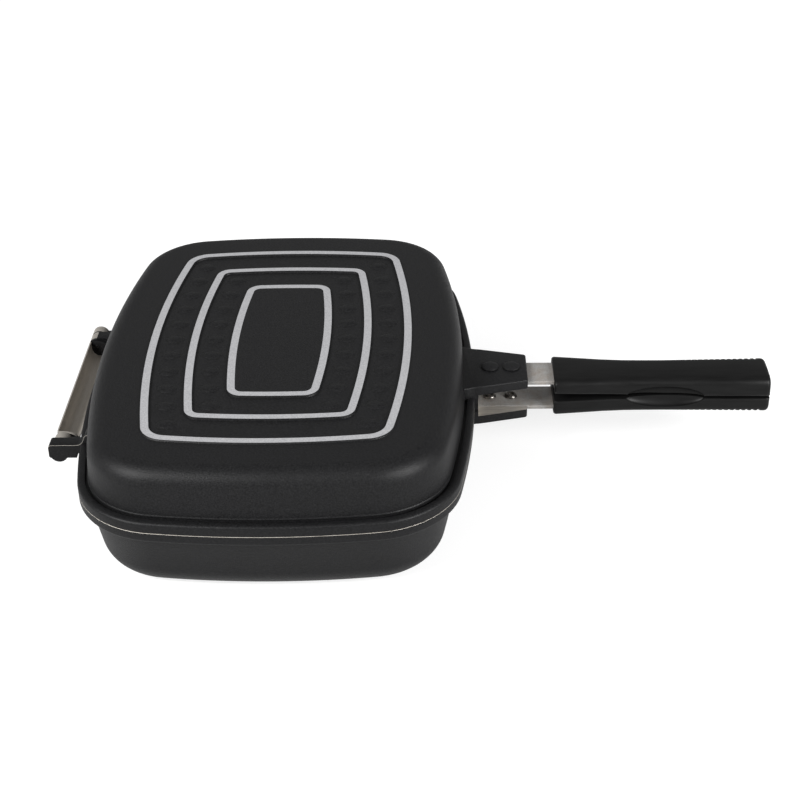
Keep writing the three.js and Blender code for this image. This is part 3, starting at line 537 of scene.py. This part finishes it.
# %% Pan shell
PANS = {
    "upper": {"depth": 35.6, "shoulder": 12, "angle": 86, "ledge": 6.4, "groove": 1.4, "chamfer": 0.2},
    "lower": {"depth": 47.2, "shoulder": 18, "angle": 80, "ledge": 5.6, "groove": 2.6, "chamfer": 0.11},
}
FLANGE, WALL, JOINT_GAP, RIM_EDGE = 6.4, 3.2, 0.08, 1.9
BEAD, INNER_EDGE = [(0.05, 1.6), (-0.3, 1.15), (-0.35, 0.75), (0.1, 0.3)], [(-0.3, 0), (0.2, 0.5)]
WALL_FOOT = [*BEAD, (0.1, -1.6), (-1.5, -1.6), (-1.8, -0.15), (-2.2, 0)]
SEAL_INSET, SEAL_WIDTH = 3.6, 3.6
SHOULDER_STEPS, EDGE_STEPS = 14, 4


def pan_lines(depth, shoulder, angle, ledge, groove, chamfer, inked):
    lean = math.radians(angle)
    slope = math.tan(lean)
    wall_top = depth - shoulder * (1 - math.cos(lean))
    flat = ledge + (wall_top - FLANGE) / slope + shoulder * math.sin(lean)

    def arc(radius, finish_number=COATED):
        turns = [lean * i / SHOULDER_STEPS for i in range(SHOULDER_STEPS + 1)]
        places = [(flat - radius * math.sin(t), depth - shoulder + radius * math.cos(t)) for t in turns]
        return [rim_line(*place, finish_number) for place in places]

    edge = [math.pi / 2 * i / EDGE_STEPS for i in range(EDGE_STEPS + 1)]
    inner_foot = ledge + WALL / math.sin(lean) - FLANGE / slope
    return [
        *band_lines(depth, inked),
        *arc(shoulder),
        *[rim_line(ledge + inset, FLANGE + height) for inset, height in WALL_FOOT],
        *[rim_line(RIM_EDGE * (1 - math.sin(t)), FLANGE - RIM_EDGE * (1 - math.cos(t))) for t in edge],
        rim_line(0, JOINT_GAP + chamfer, COATED if inked else MILLED),
        rim_line(chamfer, JOINT_GAP, MILLED),
        rim_line(SEAL_INSET, JOINT_GAP, MILLED),
        rim_line(SEAL_INSET, JOINT_GAP + groove, MILLED),
        rim_line(SEAL_INSET + SEAL_WIDTH, JOINT_GAP + groove, MILLED),
        rim_line(SEAL_INSET + SEAL_WIDTH, JOINT_GAP, MILLED),
        *[rim_line(inner_foot + inset, JOINT_GAP + height, COOKING) for inset, height in INNER_EDGE],
        *reversed(arc(shoulder - WALL, COOKING)),
    ]


def pan_shell(half):
    bm = bridged(pan_lines(inked=half == "upper", **PANS[half]))
    ends = [edge for edge in bm.edges if edge.is_boundary]
    middle_of_floor = (PANS[half]["depth"] - WALL / 2) * MM
    for face in bmesh.ops.holes_fill(bm, edges=ends)["faces"]:
        face.material_index = COOKING if face.calc_center_median().z < middle_of_floor else COATED
    return closed(bm)


# %% [markdown]
# The bracket for the strap is cast on: a plate that tapers away from the pan, with a rib down each side, so
# that it is open below like a channel. It starts as a flat outline drawn out to a slab, its corners and top
# edges are rounded, and the strap's channel is milled out of it, which leaves bare metal.

# %% Bracket
BRACKET_END, BRACKET_TOP, BRACKET_LOW, BRACKET_ROOT_HALF = 152.4, 13.6, 4.5, 26.4
BRACKET_SIDE = (114.4, 26), (118.6, 24), (122.8, 23.5), (BRACKET_END, 16)
BENDS_START, BENDS_END, BEND_ROUND, TIP_ROUND, TOP_ROUND = 114, 130, 1.8, 1.4, 0.9
FOOT_END, FOOT_HALF, FOOT_TOP = 121.6, 22.5, 9.6
STRAP_START, STRAP_END, STRAP_HALF, STRAP_LOW, STRAP_HIGH = 122, 270, 11.8, 7.5, 10
CUT_END, CUT_HALF, CUT_LOW = 160, 40, -5
RIVET_PLACES, RIVET_HOLE = (129.4, 142.7), 2.8
SEAT, JOINT_LOW, RIM_BITE = 0.3, JOINT_GAP + 0.1, 1.8


def strap_room(start, end, low):
    """The room that a strap needs between two places along it, up from a given height."""
    return block(start, end, -STRAP_HALF - SEAT, STRAP_HALF + SEAT, low, STRAP_HIGH + SEAT)


def bracket(half):
    root = RIM_HALF_LENGTH - PANS[half]["ledge"] - WALL / 2
    near = [(root, BRACKET_ROOT_HALF), *BRACKET_SIDE]
    outline = [(x, -y) for x, y in near] + [(x, y) for x, y in reversed(near)]
    bm = slab(outline, BRACKET_LOW, BRACKET_TOP)

    def upright(start, end):
        edges = [e for e in bm.edges if abs(e.verts[0].co.z - e.verts[1].co.z) > MM]
        return [e for e in edges if start * MM < e.verts[0].co.x < end * MM]

    rounded(bm, upright(BENDS_END, CUT_END), TIP_ROUND, 5)
    rounded(bm, upright(BENDS_START, BENDS_END), BEND_ROUND, 4)
    high = [e for e in bm.edges if min(v.co.z for v in e.verts) > (BRACKET_TOP - LEVEL) * MM]
    rounded(bm, [e for e in high if min(v.co.x for v in e.verts) > (root + 1) * MM], TOP_ROUND, 3)
    foot = block(RIM_HALF_LENGTH - RIM_BITE, FOOT_END, -FOOT_HALF, FOOT_HALF, JOINT_LOW, FOOT_TOP)
    bm = carved(closed(bm), foot, "UNION")
    channel = strap_room(STRAP_START - SEAT, CUT_END, CUT_LOW)
    under = block(STRAP_START - SEAT, CUT_END, -CUT_HALF, CUT_HALF, CUT_LOW, STRAP_LOW + 0.1)
    for tool in (channel, under):
        for face in tool.faces:
            face.material_index = MILLED
        bm = carved(bm, tool)
    for x in RIVET_PLACES:
        bm = carved(bm, moved(rod(RIVET_HOLE, BRACKET_LOW, BRACKET_TOP + CUT_PAST, 24), x))
    return bm


# %% [markdown]
# Two lugs on the hinge side carry the pins. The two pans' lugs stand side by side in the same order at both
# ends, so a lid could be slid off its pins. The lid's lug at the near end is a square block, and the others
# are round knuckles whose barrels are turned bare. Each profile has a few corners, is drawn out across, and
# its edges are broken finely. On the block the broken edge is drawn in bare milled metal as a painted
# highlight, the light line along it.

# %% Hinge lugs
PIN_X, PIN_DROP, PIN_HOLE, BARREL, BARREL_EDGE = -128.7, 1, 3.1, 5.4, 0.5
LUG_TOP, LUG_LOW, LUG_REACH, LUG_SLANT, LUG_EDGE = 5.4, 3.3, 5.9, 0.8, 0.14
GUSSET_RISE, GUSSET_FOOT, GUSSET_HEAD, RIM_CLEARANCE = 7.3, 3.5, 6.5, 1.6
HEAD_ROUND, FOOT_ROUND, NOSE_ROUND = 2.2, 3, 2
PAIR_START, PAIR_END, PIN_COVER = 57.3, 74.3, 1.4
LUGS = {
    "upper": {"thickness": 9, "pin": -PIN_DROP, "neck": -LUG_LOW, "outer_is_block": True},
    "lower": {"thickness": 7.7, "pin": PIN_DROP, "neck": -0.9, "outer_is_block": False},
}


def along_y(bm, height):
    """A piece turned about Z, laid along Y on the line of the hinge at this height."""
    return closed(moved(tipped(bm, -90), PIN_X, 0, height))


def hinge_rim(y):
    """Where the bowed rim of the hinge side lies at this place across the pan."""
    return -(RIM_HALF_LENGTH - SIDE_BOW + math.sqrt(SIDE_BOW**2 - y**2))


def edges_at(bm, x, z):
    """The edges that run across the pan at this point of the profile."""
    point = Vector((x, z)) * MM
    return [e for e in bm.edges if all((v.co.xz - point).length < LEVEL * MM for v in e.verts)]


def lug_profile(half, inner, outer, is_block):
    """The profile's corners, with those to be rounded first and by how much."""
    pin, neck = LUGS[half]["pin"], LUGS[half]["neck"]
    top = LUG_TOP if is_block else pin + BARREL
    rim = hinge_rim(inner)
    clear, bite = rim - RIM_CLEARANCE, rim + RIM_BITE
    wall = hinge_rim(outer) + PANS[half]["ledge"] + WALL / 2
    head, foot = (clear + GUSSET_HEAD, top + GUSSET_RISE), (clear + GUSSET_FOOT, top)
    root = [(clear, neck), (clear, JOINT_LOW), (bite, JOINT_LOW), (bite, FLANGE / 2), (wall, FLANGE / 2)]
    body = [*root, (wall, top + GUSSET_RISE), head, foot]
    if not is_block:
        return [(head, HEAD_ROUND), (foot, FOOT_ROUND)], [*body, (PIN_X, top), (PIN_X, neck)]
    tip = PIN_X - LUG_REACH
    nose = [(tip, top), (tip, neck + LUG_SLANT), (tip + LUG_SLANT, neck)]
    return [(head, HEAD_ROUND), (foot, FOOT_ROUND), (nose[0], NOSE_ROUND)], [*body, *nose]


def lug(half, inner, outer, is_block, hole_end):
    bends, profile = lug_profile(half, inner, outer, is_block)
    bm = slab(profile, inner, outer, across=True)
    for corner, size in bends:
        rounded(bm, edges_at(bm, *corner), size, 6)

    def is_broken(edge):
        in_profile = abs(edge.verts[0].co.y - edge.verts[1].co.y) < LEVEL * MM
        high = min(v.co.z for v in edge.verts) > (FLANGE / 2 + 0.1) * MM
        at_nose = is_block and max(v.co.x for v in edge.verts) < (PIN_X - LUG_REACH + LUG_SLANT + 0.1) * MM
        return in_profile and (high or at_nose)

    # On the block the broken edge gets bare milled metal: a painted highlight for the light line along it.
    for face in rounded(bm, [e for e in bm.edges if is_broken(e)], LUG_EDGE, 2):
        face.material_index = MILLED if is_block else COATED
    cheek = BARREL - BARREL_EDGE
    side = [(cheek, inner), (BARREL, inner + BARREL_EDGE), (BARREL, outer - BARREL_EDGE), (cheek, outer)]
    barrel = turned([(0, inner), *side, (0, outer)])
    for face in barrel.faces:
        is_side = abs(face.normal.z) < 0.1
        face.material_index = MILLED if is_side and not is_block else COATED
    bm = carved(closed(bm), along_y(barrel, LUGS[half]["pin"]), "UNION")
    return carved(bm, along_y(rod(PIN_HOLE, inner - CUT_PAST, hole_end), LUGS[half]["pin"]))


def lugs(half):
    """The inner lug of the pair at the pan's own +Y end, and the outer lug at the other end."""
    spec = LUGS[half]
    inner = lug(half, PAIR_START, PAIR_START + spec["thickness"], False, PAIR_END)
    outer = lug(half, PAIR_END - spec["thickness"], PAIR_END, spec["outer_is_block"], PAIR_END - PIN_COVER)
    return inner, mirrored_across(outer)


# %% [markdown]
# Low oval pads stand in the channels, eleven along each long side of the outer one and nine in the inner.
# They are shallow enough to show only by a light edge and a dark one. Each is one spun profile, flattened
# to an oval and let a little into the floor of the channel.

# %% Pads
PAD_HALF_LENGTH, PAD_HALF_WIDTH, PAD_RISE, PAD_PITCH = 6.4, 5.2, 1.3, 19.7
PAD_ROWS, PAD_STEPS = (11, 9), 20
PAD_DOME = (0, 1), (0.3, 0.97), (0.55, 0.84), (0.72, 0.6), (0.85, 0.3), (0.95, 0.08)
PAD_PROFILE = *PAD_DOME, (1.03, -0.12), (0, -0.12)


def pads(depth):
    rows = []
    for channel, count in enumerate(PAD_ROWS):
        middle = OUTER_BAND[0] - channel * BAND_PITCH - (BAND_WIDTH + BAND_PITCH) / 2
        bow = SIDE_BOW - (RIM_HALF_LENGTH - middle)
        for row in range(count):
            y = (row - (count - 1) / 2) * PAD_PITCH
            x = middle - bow + math.sqrt(bow**2 - y**2)
            for side in (-1, 1):
                pad = turned(PAD_PROFILE, PAD_STEPS)
                bmesh.ops.scale(pad, verts=pad.verts, vec=(PAD_HALF_LENGTH, PAD_HALF_WIDTH, PAD_RISE))
                rows.append(moved(pad, side * x, y, depth - CHANNEL_SINK))
    return rows


# %% Both pans
for half in ("upper", "lower"):
    bm = pan_shell(half)
    for casting in (bracket(half), *lugs(half)):
        bm = carved(bm, casting, "UNION")
    bm = merged(bm, pads(PANS[half]["depth"]))
    finished(bm, half + "_pan", PAN_FINISHES, half)

# %% [markdown]
# The strap is a plain flat bar, and what makes it look sheared and tumbled is a softly broken edge. A cube
# stretched to size and bevelled all round is the shortest way to it.

# %% Straps
STRAP_EDGE = 0.45
for half in ("upper", "lower"):
    bm = block(STRAP_START, STRAP_END, -STRAP_HALF, STRAP_HALF, STRAP_LOW, STRAP_HIGH)
    rounded(bm, bm.edges[:], STRAP_EDGE, 3)
    finished(bm, half + "_strap", [strap_steel], half)

# %% [markdown]
# A rivet is turned: a low domed head on the bracket, a shank, and a tail that was rolled over a hollow end,
# so that it shows a ring with a dimple in it. The same spun profile serves for all four, and the tail and
# the head get different finishes by height.

# %% Rivets
HEAD_PROFILE = [(4.7, 0), (5.5, 0.35), (5.35, 0.8), (4.6, 1.25), (3.2, 1.65), (1.6, 1.86), (0, 1.9)]
TAIL_PROFILE = [(0, 0.7), (1.2, 0.7), (1.7, 1.3), (2.3, 1.68), (3, 1.6), (3.6, 1.1), (4, 0.35), (4, 0)]
SHANK, RIVET_GAP = 2.5, 0.25
ALONG = "inner", "outer"


def rivet():
    seat, tail = BRACKET_TOP + RIVET_GAP, STRAP_LOW - RIVET_GAP
    low = [(radius, tail - height) for radius, height in TAIL_PROFILE]
    high = [(radius, seat + height) for radius, height in HEAD_PROFILE]
    bm = turned([*low, (SHANK, tail), (SHANK, seat), *high])
    for face in bm.faces:
        face.material_index = int(face.calc_center_median().z < (tail + 0.1) * MM)
    return bm


for half in ("upper", "lower"):
    for place_name, x in zip(ALONG, RIVET_PLACES):
        bm = moved(rivet(), x)
        finished(bm, f"{half}_rivet_{place_name}", [coated_rivet, turned_steel], half)

# %% [markdown]
# Each half grip is a moulded block round its strap: broad at the pan, drawn in at the waist, with a
# flattened outer face, round shoulders, a thin lip along the lower edges and soft ends. The section above
# the lip is a superellipse, a circle whose powers are raised until it is nearly square. It is drawn out
# station by station and scaled at each. Its edges go with the face each time, because a face drawn out alone
# stays behind as a wall inside the solid, and the cuts go wrong there. Then the strap's pocket, the finger
# notch, the ribs and the fixing holes are cut. The upper half's closed face stands further from its twin at
# the pan than at the end, as the photograph shows.

# %% Grips
GRIP_START, GRIP_LENGTH, WAIST = 168.8, 133.5, 68.7
NOTCH_X, NOTCH_Y, NOTCH_HALF, NOTCH_DEPTH, NOTCH_RISE = 237.5, 15, 24.5, 4.4, 7.3
SCREW_PLACES, MAGNET_X, MAGNET_HOLE, MAGNET_SEAT = (188.8, 256.8), 289.3, 5.3, 3.45
RIB_COUNT, RIB_PITCH, RIB_FROM_END, RIB_GROOVE, RIB_LENGTH = 13, 3.6, 6, 1.15, 8
RIB_Y, RIB_Z, RIB_TILT = 13.6, 11.25, 55
ROOT_LOW = {"upper": 4.6, "lower": 0.9}
END_LOW = {"upper": 0.5, "lower": 1.1}
STATIONS = [
    (0, 17.2, 12.3), (0.35, 17.75, 12.8), (1, 18.1, 13.1), (1.8, 18.2, 13.2), (10, 17.6, 12.95),
    (17.7, 17, 12.7), (30, 15.9, 12.35), (44.2, 15.1, 12.12), (56, 14.95, 12.1), (WAIST, 15, 12.1),
    (90, 15.3, 12.25), (110, 15.65, 12.42), (131, 16, 12.6), (132.2, 15.75, 12.4), (133, 15.2, 11.9),
    (133.5, 14.4, 11.2),
]
LIP_EDGE = [(0.95, 0), (0.985, 0.01), (1, 0.035), (1, 0.06), (0.985, 0.09), (0.978, 0.13)]
SECTION_POWER, SECTION_TURNS = 4.4, (8, 16, 24, 30, 36, 41, 45, 50, 56, 64, 74, 90)
SCREW_HOLE = [(0, -CUT_PAST), (3.9, -CUT_PAST), (3.9, 5.6), (2.3, 5.6), (2.3, 11.4), (0, 11.4)]
HOLE_STEPS = 32


def unit_section():
    """Half of the section, one wide and one high: out along the lip and round to the top."""
    bend = 2 / SECTION_POWER
    wide, low = LIP_EDGE[-1]
    turns = [math.radians(t) for t in SECTION_TURNS]
    arch = [(max(math.cos(t), 0) ** bend, math.sin(t) ** bend) for t in turns]
    return LIP_EDGE + [(wide * across, low + (1 - low) * up) for across, up in arch]


def grip_block(half):
    bm = bmesh.new()
    side = unit_section()
    shape = side + [(-y, up) for y, up in reversed(side[:-1])]
    here = bm.faces.new([bm.verts.new((0, y, up)) for y, up in shape])
    for number, (x, half_width, height) in enumerate(STATIONS):
        if number:
            made = bmesh.ops.extrude_face_region(bm, geom=[here, *here.edges])["geom"]
            here = next(g for g in made if isinstance(g, bmesh.types.BMFace))
        low = END_LOW[half] + (ROOT_LOW[half] - END_LOW[half]) * max(1 - x / WAIST, 0)
        for vert, (y, up) in zip(here.verts, shape):
            vert.co = Vector((GRIP_START + x, half_width * y, low + (height - low) * up)) * MM
    return closed(bm)


def notch(side):
    """A long flat ball that cuts the finger notch into one side of the closed face."""
    bm = bmesh.new()
    bmesh.ops.create_uvsphere(bm, u_segments=48, v_segments=24, radius=1)
    bmesh.ops.scale(bm, verts=bm.verts, vec=Vector((NOTCH_HALF, NOTCH_DEPTH, NOTCH_RISE)) * MM)
    return moved(bm, NOTCH_X, side * NOTCH_Y)


def rib_grooves():
    """Grooves across the shoulder on one long side, so that a row of ribs is left between them."""
    rows = []
    radius = RIB_GROOVE * MM
    for i in range(RIB_COUNT):
        bm = bmesh.new()
        bmesh.ops.create_cone(
            bm, cap_ends=True, segments=12, radius1=radius, radius2=radius, depth=RIB_LENGTH * MM
        )
        x = GRIP_START + GRIP_LENGTH - RIB_FROM_END - i * RIB_PITCH
        rows.append(moved(tipped(bm, RIB_TILT), x, RIB_Y, RIB_Z))
    return merged(bmesh.new(), rows)


def grip_cutters():
    return [
        strap_room(GRIP_START - CUT_PAST, STRAP_END + SEAT, STRAP_LOW - SEAT),
        notch(-1),
        notch(1),
        *[moved(turned(SCREW_HOLE, HOLE_STEPS), x) for x in SCREW_PLACES],
        moved(rod(MAGNET_HOLE, -CUT_PAST, MAGNET_SEAT, HOLE_STEPS), MAGNET_X),
        rib_grooves(),
    ]


for half in ("upper", "lower"):
    bm = grip_block(half)
    for cutter in grip_cutters():
        bm = carved(bm, cutter)
    finished(bm, half + "_grip", [phenolic], half)

# %% [markdown]
# The screws and the catch magnets only show when the pan is open. They are turned too, the screw head with
# its drive recess left as a plain dimple, because at this size a cross would not be seen.

# %% Grip screws and magnets
SCREW_HEAD = [(0, 4.1), (1, 4.1), (1.3, 3.35), (2.6, 3.35), (3.3, 3.7), (3.6, 4.3), (3.6, 5.3)]
SCREW_PROFILE = [*SCREW_HEAD, (2, 5.3), (2, 10.6), (1, 11.1), (0, 11.1)]
MAGNET_PROFILE = [(0, 0.15), (4.5, 0.15), (4.85, 0.3), (5, 0.65), (5, 3.15), (0, 3.15)]
for half in ("upper", "lower"):
    for place_name, x in zip(ALONG, SCREW_PLACES):
        screw = moved(turned(SCREW_PROFILE, HOLE_STEPS), x)
        finished(screw, f"{half}_grip_screw_{place_name}", [turned_steel], half)
    magnet = moved(turned(MAGNET_PROFILE, HOLE_STEPS), MAGNET_X)
    finished(magnet, half + "_magnet", [nickel], half)

# %% [markdown]
# The seal is an extruded ring that lies in the lower groove. Its section is a small rounded rectangle, so
# it is bridged from the same outlines as the pan.

# %% Seal
SEAL_LOW, SEAL_HIGH = -2.45, 1.25
SEAL_SECTION = [
    (4.4, SEAL_HIGH), (3.98, SEAL_HIGH - 0.2), (3.9, SEAL_HIGH - 0.6),
    (3.9, SEAL_LOW + 0.4), (4.2, SEAL_LOW), (6.6, SEAL_LOW), (6.9, SEAL_LOW + 0.4),
    (6.9, SEAL_HIGH - 0.6), (6.82, SEAL_HIGH - 0.2), (6.4, SEAL_HIGH),
]
ring = bridged([rim_line(inset, height) for inset, height in SEAL_SECTION], ring=True)
finished(ring, "seal", [silicone])

# %% [markdown]
# The oil tray is a half-round trough of thin sheet with a raised outer lip. Its section starts as one
# vertex at the lip, drawn down and spun through half a turn. It is drawn out along the hinge, and then gets
# the thickness of the sheet. Its ends are plates, half round below, with a curve up to the outer lip above.
# The plates' flat sides are drawn in the dark coating as painted shade, where the lugs shade them, and the
# far plate's edge too; only the near one's edge stays bare.

# %% Oil tray
TRAY_X, TRAY_DROP, TRAY_RADIUS, SHEET, LIP = -126.4, -1.5, 6, 0.8, 3.4
TRAY_HALF, TRAY_END_OUT, TRAY_END_IN, TRAY_END_EDGE, SPIGOT_HOLE = 54.5, 57, 54.8, 0.3, 2.1
TROUGH_STEPS, PLATE_STEPS, CURVE_STEPS = 28, 24, 16


def trough():
    bm = bmesh.new()
    centre = Vector((TRAY_X, -TRAY_HALF, TRAY_DROP)) * MM
    lip = bm.verts.new(Vector((TRAY_X - TRAY_RADIUS + SHEET / 2, -TRAY_HALF, LIP)) * MM)
    foot = bmesh.ops.extrude_vert_indiv(bm, verts=[lip])["verts"][0]
    foot.co.z = TRAY_DROP * MM
    bmesh.ops.spin(bm, geom=[foot], cent=centre, axis=(0, 1, 0), angle=-math.pi, steps=TROUGH_STEPS)
    made = bmesh.ops.extrude_edge_only(bm, edges=bm.edges[:])["geom"]
    far_end = [g for g in made if isinstance(g, bmesh.types.BMVert)]
    bmesh.ops.translate(bm, verts=far_end, vec=(0, 2 * TRAY_HALF * MM, 0))
    closed(bm)
    if sum(face.normal.dot(centre - face.calc_center_median()) for face in bm.faces) < 0:
        bmesh.ops.reverse_faces(bm, faces=bm.faces)
    bmesh.ops.solidify(bm, geom=bm.faces[:], thickness=SHEET * MM)
    return closed(bm)


def tray_end():
    left, right = TRAY_X - TRAY_RADIUS, TRAY_X + TRAY_RADIUS
    turns = [math.pi * i / PLATE_STEPS for i in range(PLATE_STEPS + 1)]
    bottom = [(TRAY_X - TRAY_RADIUS * math.cos(t), TRAY_DROP - TRAY_RADIUS * math.sin(t)) for t in turns]
    shares = [i / CURVE_STEPS for i in range(1, CURVE_STEPS + 1)]
    top = [(right - (right - left) * t**2, TRAY_DROP + (LIP - TRAY_DROP) * t * (2 - t)) for t in shares]
    bm = slab(bottom + top, TRAY_END_IN, TRAY_END_OUT, across=True)
    around = [e for e in bm.edges if abs(e.verts[0].co.y - e.verts[1].co.y) < LEVEL * MM]
    rounded(bm, around, TRAY_END_EDGE, 2)
    # The flat sides take the second finish, the dark coating: painted shade of the lugs beside them.
    for face in closed(bm).faces:
        face.material_index = int(abs(face.normal.y) > 0.9)
    hole = rod(SPIGOT_HOLE, TRAY_END_IN - CUT_PAST, TRAY_END_OUT + CUT_PAST)
    return carved(bm, along_y(hole, -PIN_DROP))


finished(trough(), "drip_tray", [stainless])
# The far plate is dark all round: painted shade of the knuckle beside it.
finished(tray_end(), "drip_tray_end_far", [coated_rivet, coated_rivet])
finished(mirrored_across(tray_end()), "drip_tray_end_near", [stainless, coated_rivet])

# %% [markdown]
# The hinge pins are turned steel with the pan's coating, put in from the tray's side: a shank in the lugs
# and a thinner spigot that carries the end of the tray. They are spun about Z like the rivets and laid
# along Y.

# %% Hinge pins
SPIGOT = [(0, 54.8), (1.6, 54.8), (2, 55.2), (2, 57.3)]
PIN_PROFILE = [*SPIGOT, (3, 57.3), (3, 72.2), (2.6, 72.6), (0, 72.6)]
finished(along_y(turned(PIN_PROFILE), -PIN_DROP), "hinge_pin_far", [coated_rivet])
near_pin = mirrored_across(along_y(turned(PIN_PROFILE), -PIN_DROP))
finished(near_pin, "hinge_pin_near", [coated_rivet])
